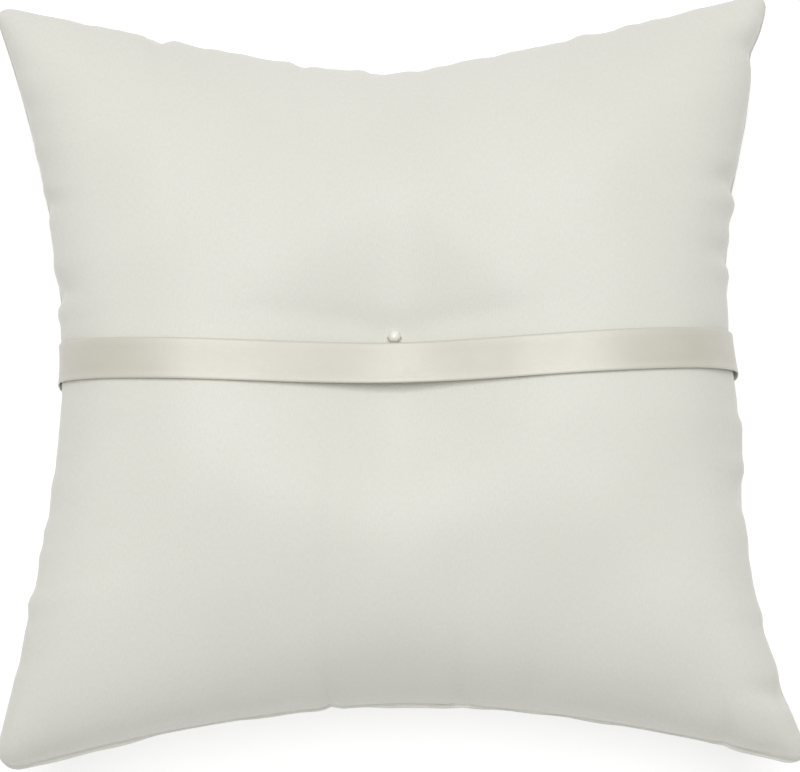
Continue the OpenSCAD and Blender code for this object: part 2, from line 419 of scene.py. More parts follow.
def fan_hollow(grid):
    """The hollow that ribbon and tuft pull into the front: a sloping fan, a soft dip below it."""
    x = grid[:, :, 0]
    above = grid[:, :, 1] - PEARL.y - 0.06 * np.abs(x)
    softness = 4 * MM
    half_width = FAN_LEFT + (FAN_RIGHT - FAN_LEFT) * smooth_step(0.5 + x / (20 * MM))
    reach = FAN_REACH * (1 - (np.hypot(x, FAN_TIP) - FAN_TIP) / half_width)
    inside = softness * np.logaddexp(0, (reach - np.maximum(above, 0)) / softness)
    steepness = FAN_SLOPE * (FAN_SIDES + FAN_EXTRA * hump(x, FAN_MIDDLE))
    ramp = steepness * FAN_FALL * (1 - np.exp(-inside / FAN_FALL))
    below = hump(np.minimum(above + UNDER_LEVEL, 0), UNDER_REACH)
    groove = np.exp(-(x / (20 * MM)) ** 2 - ((above - 0.04 * np.abs(x)) / (5 * MM)) ** 2)
    lip = np.exp(-(x / (17 * MM)) ** 2 - ((grid[:, :, 1] + 5 * MM) / (3.5 * MM)) ** 2)
    return ramp * below + GROOVE_DEPTH * groove + LOWER_DIP * lip


def ripple(t, waves):
    """A sum of sine waves, each (length, share, phase)."""
    return sum(share * np.sin(2 * math.pi * t / length + phase) for length, share, phase in waves)


def seam_puckers(lines, side):
    """Short gathers that run in from the seams, strongest in the middle of each edge."""
    u, v = np.meshgrid(lines, lines, indexing="ij")
    half = CUT / 2
    height = np.zeros_like(u)
    gathers = {
        "left": (1 + u, v, 0.4), "right": (1 - u, v, 1.9),
        "bottom": (1 + v, u, 3.1), "top": (1 - v, u, 4.6),
    }
    for edge, (away, along, phase) in gathers.items():
        distance = away * half
        place = along * half + side * 1.3 * MM
        wave = ripple(place, [
            (15.1 * MM, 0.45, phase),
            (9.7 * MM, 0.35, 2.3 * phase),
            (6.3 * MM, 0.2, 3.7 * phase + 1),
        ])
        off_seam = 1 - np.exp(-distance / (1.2 * MM))
        fade = np.exp(-distance / PUCKER_REACH) * off_seam
        uneven = 0.65 + 0.35 * np.sin(2 * math.pi * place / (61 * MM) + 1.7 * phase)
        height += PUCKER_DEPTH * 2 * wave * fade * uneven * (1 - 0.8 * np.abs(along) ** 3)
        for nip_edge, spot, _, width, fold in NIPS:
            if nip_edge == edge:
                valley = hump(along - spot, width) - 0.4 * hump(along - spot, 2 * width)
                height -= 1.6 * fold * MM * valley * hump(distance, FOLD_REACH) * off_seam
    return height


def filling_lumps(grid):
    """The soft unevenness of loose fibre under the cloth."""
    x, y, z = (grid[:, :, k] for k in range(3))
    turn = np.where(z > SEAM_Z, 0.0, 1.1)
    return LUMP_HEIGHT * (
        0.5 * np.sin(x / (13 * MM) + 1.3 + turn) * np.sin(y / (11 * MM) + 0.4)
        + 0.3 * np.sin((x + y) / (8.3 * MM) + 2.1) * np.sin((x - y) / (9.7 * MM) + 0.9 + turn)
        + 0.2 * np.sin(x / (5.9 * MM) - y / (7.1 * MM) + 0.2)
    )


RIBBON_WIDTH = 10 * MM
RIBBON_THICKNESS = 0.3 * MM
RIBBON_BOW = 4.2 * MM        # the ribbon lies this much higher at the sides than under the pearl
RIBBON_BACK_BOW = 3 * MM     # and this much higher in the middle of the back
RIBBON_TRAVEL = 6 * MM
CHANNEL_DEPTH = 0.95 * MM    # of the groove under the pillow for the ribbon
CHANNEL_HALF_WIDTH = 11.2 * MM
CHANNEL_Y = 0.7 * MM         # its middle: about the ribbon's, halfway through its travel


def pressed_by_ribbon(grid):
    """1 where the cloth lies free, falling to 0.2 where the ribbon presses it smooth."""
    from_middle = np.abs(grid[:, :, 1] - (RIBBON_BOW - RIBBON_TRAVEL) / 2)
    off_track = from_middle - (RIBBON_WIDTH + RIBBON_TRAVEL) / 2
    return 0.2 + 0.8 * smooth_step((off_track + 1 * MM) / (8 * MM))


def lid_crease(grid):
    """The soft roll along the ribbon's top edge, out from the pearl to both sides."""
    reach = np.abs(grid[:, :, 0])
    above = grid[:, :, 1] - PEARL.y + 1 * MM - 0.09 * reach
    fade = smooth_step(reach / (12 * MM)) * smooth_step((48 * MM - reach) / (34 * MM))
    return fade * LID_HEIGHT * (hump(above, 2.4 * MM) - 0.3 * hump(above - 5 * MM, 3 * MM))


def outward_field(front, lines):
    """Level direction out of the pillow at every grid point, taken from the nearest edges."""
    half = CUT / 2
    u, v = np.meshgrid(lines, lines, indexing="ij")
    field = np.zeros(front.shape[:2] + (2,))
    edges = (
        (front[0, :, :2], (1 + u) * half, 1, -1), (front[-1, :, :2], (1 - u) * half, 1, 1),
        (front[:, 0, :2], (1 + v) * half, 0, 1), (front[:, -1, :2], (1 - v) * half, 0, -1),
    )
    for edge, distance, axis, turn in edges:
        tangent = unit(np.gradient(edge, axis=0))
        out = turn * np.stack([tangent[:, 1], -tangent[:, 0]], axis=1)
        out = out[None] if axis == 1 else out[:, None]
        field += np.exp(-distance / (2.5 * MM))[:, :, None] * out
    return unit(field)


def rest_on_floor(grid):
    """Flattens the back where the pillow lies on it, with a shallow channel for the ribbon."""
    softness = 0.9 * MM
    flattened = softness * np.logaddexp(0, grid[:, :, 2] / softness)
    from_middle = np.abs(grid[:, :, 1] - CHANNEL_Y)
    channel = CHANNEL_DEPTH * smooth_step((CHANNEL_HALF_WIDTH - from_middle) / (2 * MM))
    grid[:, :, 2] = np.maximum(flattened, channel) + 0.02 * MM


def distance_from_tuft(grid):
    return np.hypot(grid[:, :, 0], grid[:, :, 1] - PEARL.y)


RELAX_PASSES = 14            # smooths the fine creases that the simulation leaves


def shape_cover():
    """Both panels' finished outer surfaces as grids, their outward directions and their lines."""
    front, back = settle_cover()
    lines = panel_lines()
    inside = edge_distance(np.linspace(-1, 1, SIM_STEPS + 1))
    from_tuft = distance_from_tuft(front)
    weight = 0.5 * smooth_step(inside / (12 * MM)) * smooth_step(from_tuft / (8 * MM))
    for grid in (front, back):
        relax(grid, RELAX_PASSES, weight)
    front = resample(front, lines)
    back = resample(back, lines)
    fit_outline(front, back, lines)

    u, v = np.meshgrid(lines, lines, indexing="ij")
    settled = front[:, :, 2] - SEAM_Z
    share = (1 - CROWN_SHARE) * settled / settled.max() + CROWN_SHARE * crown(u, v)
    front[:, :, 2] = SEAM_Z + (PANEL_HIGH.z + CROWN_EXTRA - SEAM_Z) * share - fan_hollow(front)
    middle = np.unravel_index(np.argmin(distance_from_tuft(front)), u.shape)
    gap = PEARL_LOW.z - TIED_DOWN - front[middle][2]
    front[:, :, 2] += gap * tuft_pull(front[:, :, 0], front[:, :, 1], TIE_RADIUS)
    distance = edge_distance(lines)
    for grid, side in ((front, 1), (back, -1)):
        normals = surface_normals(grid, side)
        height = seam_puckers(lines, side)
        height += filling_lumps(grid) * smooth_step(distance / (14 * MM))
        height *= pressed_by_ribbon(grid)
        if side > 0:
            height += lid_crease(grid)
        grid += normals * height[:, :, None]
    rest_on_floor(back)

    out = outward_field(front, lines)
    at_bottom = smooth_step((-v - 0.9) / 0.1) * smooth_step((1 - np.abs(u)) / 0.06)
    x, y = front[:, :, 0], front[:, :, 1]
    rolled = ripple(x, [(96 * MM, 0.5, 1.2), (41 * MM, 0.3, 0.3), (17 * MM, 0.2, 2.0)])
    seam_wave = 0.5 * MM * ripple(x + y, [(83 * MM, 0.6, 0.5), (47 * MM, 0.4, 2.0)])
    lift = CORNER_LIFT * np.abs(u * v) ** 2.2
    for grid, side in ((front, 1), (back, -1)):
        lip = SEAM_LIP + BOTTOM_LIP * at_bottom
        if side < 0:
            lip = lip + BACK_LIP * at_bottom * clamp01(0.45 + rolled)
        grid[:, :, :2] += out * (lip * hump(distance, SEAM_LIP_REACH))[:, :, None]
        grid[:, :, 2] += side * (2 * FOLD_RADIUS + FOLD_GAP) * hump(distance, 2.6 * MM)
        grid[:, :, 2] += seam_wave * np.exp(-distance / (8 * MM)) + lift
    return front, back, out, lines


# ---- Meshes ----------------------------------------------------------

def add_mesh(name, points, faces, material, body, uv=None):
    mesh = bpy.data.meshes.new(name)
    mesh.from_pydata(np.asarray(points).tolist(), [], [list(map(int, f)) for f in faces])
    mesh.polygons.foreach_set("use_smooth", [True] * len(mesh.polygons))
    if uv is not None:
        layer = mesh.uv_layers.new(name="pattern")
        corners = np.empty(len(mesh.loops), int)
        mesh.loops.foreach_get("vertex_index", corners)
        layer.data.foreach_set("uv", np.asarray(uv)[corners].ravel())
    mesh.materials.append(material)
    piece = add_object(name, mesh)
    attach(piece, body)
    return piece


def thicken(piece, thickness):
    """Gives a sheet its thickness, on the inside of its faces."""
    shell = piece.modifiers.new("thickness", "SOLIDIFY")
    shell.thickness = thickness
    shell.offset = -1


def rim_walk(n):
    """Grid places round the edge of an n by n grid, anticlockwise from the bottom left."""
    last = n - 1
    bottom = [(i, 0) for i in range(last)]
    right = [(last, j) for j in range(last)]
    top = [(last - i, last) for i in range(last)]
    left = [(0, last - j) for j in range(last)]
    return np.array(bottom + right + top + left)


def ring_faces(a, b, flip):
    """Faces between two closed rings of vertex numbers."""
    quads = np.stack([a, np.roll(a, -1), np.roll(b, -1), b], axis=1)
    return quads[:, ::-1] if flip else quads


FOLD_TURNS = (52, 14, -24, -60, -90)      # degrees round the seam's rolled edge
ALLOWANCE_STEPS = (0.9, 2.8, 5.2, 7.5)    # mm in from it, along the turned-in allowance


def cover_panel(name, grid, out, lines, side, material):
    """One panel of the cover, its edge rolled over and its allowance turned in along the seam."""
    n = len(lines)
    places = rim_walk(n)
    at = tuple(places.T)
    top = grid[at]
    outward = np.zeros_like(top)
    outward[:, :2] = out[at]
    up = np.array([0.0, 0.0, side])
    centre = top - FOLD_RADIUS * up
    from_middle = np.zeros_like(top)
    from_middle[:, 0] = lines[places[:, 0]]
    from_middle[:, 1] = lines[places[:, 1]]

    rings = []
    for turn in map(math.radians, FOLD_TURNS):
        rings.append(centre + FOLD_RADIUS * (math.cos(turn) * outward + math.sin(turn) * up))
    folded = rings[-1]
    for step in ALLOWANCE_STEPS:
        rings.append(folded - step * MM * from_middle)

    u, v = np.meshgrid(lines, lines, indexing="ij")
    pattern = np.stack([u, v], axis=-1).reshape(-1, 2) * CUT / 2
    uv = [pattern]
    travelled = 0.0
    previous = top
    for ring in rings:
        travelled += np.median(np.linalg.norm(ring - previous, axis=1))
        previous = ring
        uv.append(from_middle[:, :2] * (CUT / 2 + travelled))

    numbers = np.arange(n * n).reshape(n, n)
    faces = [grid_faces(numbers, side < 0)]
    inner = numbers[at]
    for k in range(len(rings)):
        outer = n * n + k * len(places) + np.arange(len(places))
        faces.append(ring_faces(inner, outer, side > 0))
        inner = outer
    points = np.concatenate([grid.reshape(-1, 3)] + rings)
    piece = add_mesh(name, points, np.concatenate(faces), material, "pillow", np.concatenate(uv))
    thicken(piece, SATIN_THICKNESS)
    return piece


def fibre_filling(front, back, lines, material):
    """The loose filling as one lumpy closed body, a little inside the cover all round."""
    keep = slice(0, None, 3)               # every third line is fine enough, inside the cover
    rows = lines[keep]
    n = len(rows)
    u, v = np.meshgrid(rows, rows, indexing="ij")
    numbers_front, numbers_back, count = sewn_numbers(n - 1)
    points = np.zeros((count, 3))
    for grid, numbers, side in ((back, numbers_back, -1), (front, numbers_front, 1)):
        normals = surface_normals(grid, side)[keep, keep]
        inner = grid[keep, keep].copy()
        x, y = inner[:, :, 0] / MM, inner[:, :, 1] / MM
        lump = 0.5 + 0.25 * np.sin(x / 4.1 + side) * np.sin(y / 3.7)
        lump += 0.25 * np.sin((x - y) / 2.9) * np.cos(x / 5.3)
        inner -= normals * (0.75 + 1.1 * lump[:, :, None]) * MM
        inner[:, :, 0] -= 1.6 * MM * u ** 9
        inner[:, :, 1] -= 1.6 * MM * v ** 9
        points[numbers] = inner
    edge = tuple(rim_walk(n).T)
    points[numbers_front[edge], 2] = front[keep, keep][edge][:, 2] - 2 * FOLD_RADIUS
    faces = np.concatenate([grid_faces(numbers_front, False), grid_faces(numbers_back, True)])
    return add_mesh("fibre_filling", points, faces, material, "pillow")


# ---- Threads ---------------------------------------------------------

def frames_along(path):
    """Two cross directions at each point of a path, turning as little as possible."""
    tangents = unit(np.gradient(path, axis=0))
    start = np.cross(tangents[0], [0, 0, 1])
    if np.linalg.norm(start) < 0.1:
        start = np.cross(tangents[0], [0, 1, 0])
    side = start / np.linalg.norm(start)
    sides = []
    for tangent in tangents:
        side = side - tangent * np.dot(side, tangent)
        side = side / np.linalg.norm(side)
        sides.append(side)
    sides = np.array(sides)
    return sides, np.cross(tangents, sides)


def tube(path, radii, around):
    """Points and faces of a closed tube, capped flat at both ends."""
    sides, ups = frames_along(path)
    angle = (np.arange(around) * 2 * math.pi / around)[None, :, None]
    ring = np.cos(angle) * sides[:, None] + np.sin(angle) * ups[:, None]
    points = path[:, None] + radii[:, None, None] * ring
    rings = len(path)
    numbers = np.arange(rings * around).reshape(rings, around)
    faces = [ring_faces(numbers[k], numbers[k + 1], False) for k in range(rings - 1)]
    points = np.concatenate([points.reshape(-1, 3), path[:1], path[-1:]])
    first = rings * around
    caps = [[numbers[0][(j + 1) % around], numbers[0][j], first] for j in range(around)]
    caps += [[numbers[-1][j], numbers[-1][(j + 1) % around], first + 1] for j in range(around)]
    return points, np.concatenate(faces).tolist() + caps


def spaced_path(corners, step):
    """A smooth path through the corner points, with points about a step apart."""
    corners = np.array(corners, float)
    for _ in range(3):
        start, end = corners[:-1], corners[1:]
        cut = np.concatenate([start * 0.75 + end * 0.25, start * 0.25 + end * 0.75], axis=1)
        corners = np.concatenate([corners[:1], cut.reshape(-1, 3), corners[-1:]])
    along = run_along(corners)
    count = max(4, int(along[-1] / step))
    return points_at(np.linspace(0, along[-1], count), along, corners)


def twisted_thread(path, radius, twist, around=6):
    """Two plies twisted round a path. twist is the length of a full turn."""
    sides, ups = frames_along(path)
    along = run_along(path)
    parts = []
    for start in (0, math.pi):
        turn = (along / twist * 2 * math.pi + start)[:, None]
        ply = path + radius / 2 * (np.cos(turn) * sides + np.sin(turn) * ups)
        ends = np.minimum(1, 0.35 + np.minimum(along, along[-1] - along) / radius)
        parts.append(tube(ply, 0.55 * radius * ends, around))
    return parts


def joined(parts):
    """Several (points, faces) as one."""
    points = []
    faces = []
    first = 0
    for part_points, part_faces in parts:
        points.append(part_points)
        faces += [[v + first for v in face] for face in part_faces]
        first += len(part_points)
    return np.concatenate(points), faces


STITCHES_PER_SIDE = 47
STITCH_SHARE = 0.75          # of each pitch that the thread shows for
SEAM_THREAD_R = 0.15 * MM


def seam_line(front, back, out):
    """The middle of the groove between the rolled edges, once round, with its outward direction."""
    at = tuple(rim_walk(len(front)).T)
    middle = (front[at] + back[at]) / 2
    outward = np.zeros_like(middle)
    outward[:, :2] = out[at]
    return middle, outward


def seam_stitches(front, back, out, material):
    """The machine seam: each stitch shows on the rolled edge and dives in at both ends."""
    middle, outward = seam_line(front, back, out)
    per_side = len(front) - 1
    dive = np.array([0.75, 0.15, 0.0, 0.0, 0.0, 0.15, 0.75]) * MM
    parts = []
    for side in range(4):
        take = (side * per_side + np.arange(per_side + 1)) % len(middle)
        line, direction = middle[take], outward[take]
        along = run_along(line)
        pitch = along[-1] / STITCHES_PER_SIDE
        for number in range(STITCHES_PER_SIDE):
            share = np.linspace(0.5 - STITCH_SHARE / 2, 0.5 + STITCH_SHARE / 2, len(dive))
            places = (number + share) * pitch
            centre = points_at(places, along, line)
            facing = points_at(places, along, direction)
            path = centre + facing * (0.66 * FOLD_RADIUS - dive)[:, None]
            parts.append(tube(path, np.full(len(dive), SEAM_THREAD_R), 6))
    return add_mesh("seam_stitches", *joined(parts), material, "pillow")


CLOSING_STITCHES = 12
CLOSING_SPAN = 60 * MM
CLOSING_THREAD_R = 0.15 * MM


def closing_stitches(front, back, out, material):
    """Slip stitches by hand over the seam, in the middle of the bottom edge."""
    middle, outward = seam_line(front, back, out)
    parts = []
    per_side = len(front) - 1
    bottom, facing = middle[:per_side], outward[:per_side]
    for number in range(CLOSING_STITCHES):
        uneven = 0.5 * MM * math.sin(2.7 * number + 0.5)
        x = CLOSING_SPAN * ((number + 0.5) / CLOSING_STITCHES - 0.5) + uneven
        steps = np.linspace(-1, 1, 9)
        slant = 0.42 * MM * (1 + 0.3 * math.sin(1.9 * number))
        places = x + slant * steps
        centre = points_at(places, bottom[:, 0], bottom)
        direction = points_at(places, bottom[:, 0], facing)
        height = (0.98 * FOLD_RADIUS + FOLD_GAP) * 1.5 * np.sin(steps * math.pi / 2)
        reach = FOLD_RADIUS - 0.02 * MM - 0.8 * MM * np.abs(steps) ** 4
        path = centre + direction * reach[:, None]
        path[:, 2] += height
        parts += twisted_thread(path, CLOSING_THREAD_R, 0.9 * MM)
    return add_mesh("closing_stitches", *joined(parts), material, "pillow")


TUFT_THREAD_R = 0.16 * MM


def tuft_thread(material):
    """Through the pillow on both sides of the pearl, through its bore, and knotted on the back."""
    x_leg = PEARL_R + 0.1 * MM
    y = PEARL.y
    back_z = THREAD_LOW.z + 0.9 * MM
    heights = (back_z, back_z + 4 * MM, PEARL.z - 4 * MM, PEARL.z - 1.2 * MM, PEARL.z)
    up = [(-x_leg, y, z) for z in heights]
    down = [(x_leg, y, z) for z in reversed(heights)]
    through = [(x, y, PEARL.z) for x in (-PEARL_R, 0, PEARL_R)]
    corners = [(0.2 * MM, y, back_z)] + up + through + down + [(-0.2 * MM, y, back_z)]
    parts = twisted_thread(spaced_path(corners, 0.28 * MM), TUFT_THREAD_R, 1.3 * MM)
    turn = np.linspace(0, 2 * math.pi, 120)
    winding = 0.48 * MM + 0.2 * MM * np.cos(3 * turn)
    knot = np.stack([
        0.8 * winding * np.cos(2 * turn),
        y + winding * np.sin(2 * turn),
        back_z + 0.34 * MM * np.sin(3 * turn),
    ], axis=1)
    parts.append(tube(knot, np.full(len(knot), 0.22 * MM), 8))
    for tail in (-1, 1):
        path = spaced_path([
            (0, y, back_z),
            (0.5 * MM * tail, y - 0.7 * MM, back_z),
            (0.9 * MM * tail, y - 1.9 * MM, back_z + 0.3 * MM),
        ], 0.2 * MM)
        parts += twisted_thread(path, 0.2 * MM, 1.2 * MM)
    return add_mesh("tuft_stitch", *joined(parts), material, "pillow")


def pearl_bead(material):
    """A round bead turned about its bore, which runs across the pillow."""
    bore = 0.35 * MM
    lip = 0.03 * MM
    mouth = math.asin((bore + 0.1 * MM) / PEARL_R)
    turns = np.linspace(mouth, math.pi - mouth, 41)
    profile = [(PEARL_R * math.cos(t), PEARL_R * math.sin(t)) for t in turns]
    depth = profile[0][0]
    profile = [(depth - 0.13 * MM, bore), (depth - lip, bore + lip)] + profile
    profile += [(-depth + lip, bore + lip), (-depth + 0.13 * MM, bore), (0, bore)]
    around = 64
    angle = np.arange(around) * 2 * math.pi / around
    across = np.ones(around)
    rings = [
        np.stack([x * across, r * np.cos(angle), r * np.sin(angle)], axis=1) + np.array(PEARL)
        for x, r in profile
    ]
    numbers = np.arange(len(rings) * around).reshape(len(rings), around)
    faces = [ring_faces(numbers[k - 1], numbers[k], True) for k in range(len(rings))]
    return add_mesh("pearl_bead", np.concatenate(rings), np.concatenate(faces), material, "pearl")


# ---- Ribbon ----------------------------------------------------------

RIBBON_CLEARANCE = 0.12 * MM
RIBBON_RINGS = 288
RIBBON_ROWS = 17
RIBBON_LAP = 12 * MM
RIBBON_DIP = 0.82            # share of the hollow round the pearl that the ribbon sinks into
RIBBON_BACK_DIP = 0.4        # and of the hollow round the knot on the back
RIBBON_FLARE = 0.12 * MM     # the lower edge stands out this much at the sides
RIBBON_STAND = 0.7 * MM      # and this much under the pearl, where it bridges the tuft's hollow
FLOOR_GAP = 0.05 * MM        # from the floor to the ribbon's underside


def cover_tree(pieces):
    """A search tree over the cover's outside."""
    points = []
    faces = []
    first = 0
    for piece in pieces:
        points += [v.co.copy() for v in piece.data.vertices]
        faces += [[v + first for v in polygon.vertices] for polygon in piece.data.polygons]
        first = len(points)
    return BVHTree.FromPolygons(points, faces)


def cover_radius(tree, angles, y):
    """Distance from the pillow's middle line to its outside, at each angle in turn, at height y."""
    middle = Vector((0, y, SEAM_Z))
    outside = 0.2                  # well past the pillow's corners
    step = angles[1] - angles[0]
    found = []
    for angle in angles:
        reach = 0.0
        for turn in angle + step * np.linspace(-0.45, 0.45, 7):
            direction = Vector((math.sin(turn), 0, math.cos(turn)))
            hit = tree.ray_cast(middle + direction * outside, -direction)[0]
            reach = max(reach, (hit - middle).length)
        found.append(reach)
    return np.array(found)


def hull_radius(angles, radius):
    """The same outline pulled taut: its convex hull, sampled at the same angles."""
    x = radius * np.sin(angles)
    z = radius * np.cos(angles)
    order = sorted(zip(x, z))

    def half(points):
        chain = []
        for p in points:
            while len(chain) > 1 and (
                (chain[-1][0] - chain[-2][0]) * (p[1] - chain[-2][1])
                - (chain[-1][1] - chain[-2][1]) * (p[0] - chain[-2][0])
            ) <= 0:
                chain.pop()
            chain.append(p)
        return chain[:-1]

    hull = np.array(half(order) + half(order[::-1]))
    turns = np.arctan2(hull[:, 0], hull[:, 1])
    sort = np.argsort(turns)
    hull, turns = hull[sort], turns[sort]
    result = []
    for angle in angles:
        k = np.searchsorted(turns, (angle + math.pi) % (2 * math.pi) - math.pi)
        a, b = hull[(k - 1) % len(hull)], hull[k % len(hull)]
        d = np.array([math.sin(angle), math.cos(angle)])
        e = b - a
        result.append((a[0] * e[1] - a[1] * e[0]) / (d[0] * e[1] - d[1] * e[0]))
    return np.array(result)


def smooth_ring(values, reach):
    kernel = np.hanning(2 * reach + 3)[1:-1]
    kernel /= kernel.sum()
    wrapped = np.concatenate([values[-reach:], values, values[:reach]])
    return np.convolve(wrapped, kernel, "valid")


def ribbon_path(tree):
    """The ribbon's inner face: each row's distance from the pillow's middle line, by angle."""
    angles = -math.pi + np.arange(RIBBON_RINGS) * 2 * math.pi / RIBBON_RINGS
    across = np.linspace(-RIBBON_WIDTH / 2, RIBBON_WIDTH / 2, RIBBON_ROWS)
    sideways = np.sin(angles) ** 6
    in_front = np.cos(angles) > 0
    shift = RIBBON_BOW * sideways + np.where(in_front, 0, RIBBON_BACK_BOW) * (1 - sideways)
    low = -RIBBON_WIDTH / 2 - RIBBON_TRAVEL - 0.5 * MM
    high = RIBBON_WIDTH / 2 + RIBBON_BOW + 0.5 * MM
    heights = np.linspace(low, high, 24)
    table = np.array([cover_radius(tree, angles, y) for y in heights])

    def needed(offset):
        """The radius that clears the cover here across the ribbon, over the whole slide."""
        best = np.zeros(len(angles))
        for travel in np.linspace(0, RIBBON_TRAVEL, 7):
            y = np.clip(offset + shift - travel, low, high)
            place = (y - low) / (high - low) * (len(heights) - 1)
            k = np.clip(place.astype(int), 0, len(heights) - 2)
            t = place - k
            column = np.arange(len(angles))
            best = np.maximum(best, table[k, column] * (1 - t) + table[k + 1, column] * t)
        return best

    dip = np.where(in_front, RIBBON_DIP, RIBBON_BACK_DIP)
    rows = np.array([needed(offset) for offset in across])
    radius = []
    for row in rows:
        own = hull_radius(angles, row)
        radius.append(smooth_ring(own, 3) - dip * smooth_ring(own - row, 18))
    bent = np.polynomial.polynomial.polyfit(across, np.array(radius), 2)
    section = np.polynomial.polynomial.polyval(across, bent).T
    short = np.max(rows - section, axis=0)
    near = np.max([np.roll(short, k) for k in range(-4, 5)], axis=0)
    return angles, shift, section + smooth_ring(np.maximum(near, 0), 4) + RIBBON_CLEARANCE


def ribbon_rings(angles, shift, radius):
    """Rings of points from one lapped end of the ribbon to the other, each round its thickness."""
    half_lap = math.atan(RIBBON_LAP / 2 / SEAM_Z)
    turns = np.linspace(-math.pi - half_lap, math.pi + half_lap, RIBBON_RINGS + 28)
    wrapped = (turns + math.pi) % (2 * math.pi) - math.pi
    across = np.linspace(-RIBBON_WIDTH / 2, RIBBON_WIDTH / 2, RIBBON_ROWS)
    lapped = smooth_step((np.abs(turns) - math.radians(150)) / math.radians(14))
    lift = np.where(turns > 0, lapped * (RIBBON_THICKNESS + 0.06 * MM), 0)
    y_shift = np.interp(wrapped, angles, shift, period=2 * math.pi)
    side_share = smooth_step((np.abs(np.sin(wrapped)) - 0.86) / 0.14)
    lower = clamp01(-across / (RIBBON_WIDTH / 2))
    bridge = np.where(np.cos(wrapped) > 0, hump(np.sin(wrapped), 0.42), 0)
    along = turns * 64 * MM        # about the distance round the pillow
    inner = []
    outer = []
    for k, offset in enumerate(across):
        own = np.interp(wrapped, angles, radius[k], period=2 * math.pi)
        edge = abs(offset) / (RIBBON_WIDTH / 2)
        wave = 0.05 * MM * edge ** 2 * (1 + np.sin(along / (5.3 * MM) + offset / (4 * MM)))
        own = own + wave * np.where(np.cos(wrapped) > -0.2, 1, 0.2)
        own = own + RIBBON_FLARE * lower[k] ** 2 * side_share
        own = own + RIBBON_STAND * bridge * (0.5 - offset / RIBBON_WIDTH)
        selvedge = 0.05 * MM * math.exp(-((abs(offset) - 4.45 * MM) / (0.3 * MM)) ** 2)
        for shell, extra in ((inner, 0.0), (outer, RIBBON_THICKNESS + selvedge)):
            reach = own + extra
            x = reach * np.sin(wrapped)
            z = SEAM_Z + reach * np.cos(wrapped)
            lowest = FLOOR_GAP + (RIBBON_THICKNESS - extra) + lift
            z = np.where(np.cos(wrapped) < 0, np.maximum(z + lift, lowest), z)
            shell.append(np.stack([x, offset + y_shift, z], axis=1))
    inner = np.array(inner)
    outer = np.array(outer)
    middle = (inner + outer) / 2
    bulge = np.array([[0, 0.3 * RIBBON_THICKNESS, 0]])
    section = np.concatenate([
        inner[::-1], (middle[0] - bulge)[None], outer, (middle[-1] + bulge)[None]
    ])
    length = run_along(middle[RIBBON_ROWS // 2])
    place = np.concatenate([across[::-1], across[:1], across, across[-1:]])
    uv = np.stack(np.meshgrid(length, place, indexing="ij"), axis=-1)
    return section.transpose(1, 0, 2), uv, length[-1]


def ribbon_band(tree, material):
    """One strip of ribbon round the pillow's waist, its ends lapped and sewn on the back."""
    rings, uv, length = ribbon_rings(*ribbon_path(tree))
    count, around = rings.shape[:2]
    numbers = np.arange(count * around).reshape(count, around)
    faces = [ring_faces(numbers[k], numbers[k + 1], True) for k in range(count - 1)]
    faces = np.concatenate(faces).tolist()
    for ring, flip in ((numbers[0], True), (numbers[-1], False)):
        inner = ring[RIBBON_ROWS - 1::-1]
        outer = ring[RIBBON_ROWS + 1:-1]
        caps = [[inner[k], inner[k + 1], outer[k + 1], outer[k]] for k in range(RIBBON_ROWS - 1)]
        caps += [[inner[0], outer[0], ring[RIBBON_ROWS]], [inner[-1], ring[-1], outer[-1]]]
        faces += [cap[::-1] if flip else cap for cap in caps]
    band = add_mesh("ribbon", rings.reshape(-1, 3), faces, material, "ribbon", uv.reshape(-1, 2))
    return band, length


def ribbon_stitches(material):
    """Two rows of stitches through the lapped ends."""
    parts = []
    top = FLOOR_GAP + 2 * RIBBON_THICKNESS + 0.14 * MM
    low = 0.17 * MM
    for x in (-0.3 * RIBBON_LAP, 0.3 * RIBBON_LAP):
        for number in range(4):
            y = RIBBON_BACK_BOW + (RIBBON_WIDTH - 2 * MM) * ((number + 0.5) / 4 - 0.5)
            half = 0.75 * MM
            corners = [(x, y - half, top), (x, y - half, low), (x, y, low)]
            corners += [(x, y + half, low), (x, y + half, top)]
            path = spaced_path(corners, 0.12 * MM)
            parts += twisted_thread(path, 0.15 * MM, 0.8 * MM)
    return add_mesh("ribbon_join_stitches", *joined(parts), material, "ribbon")


# ---- Materials -------------------------------------------------------

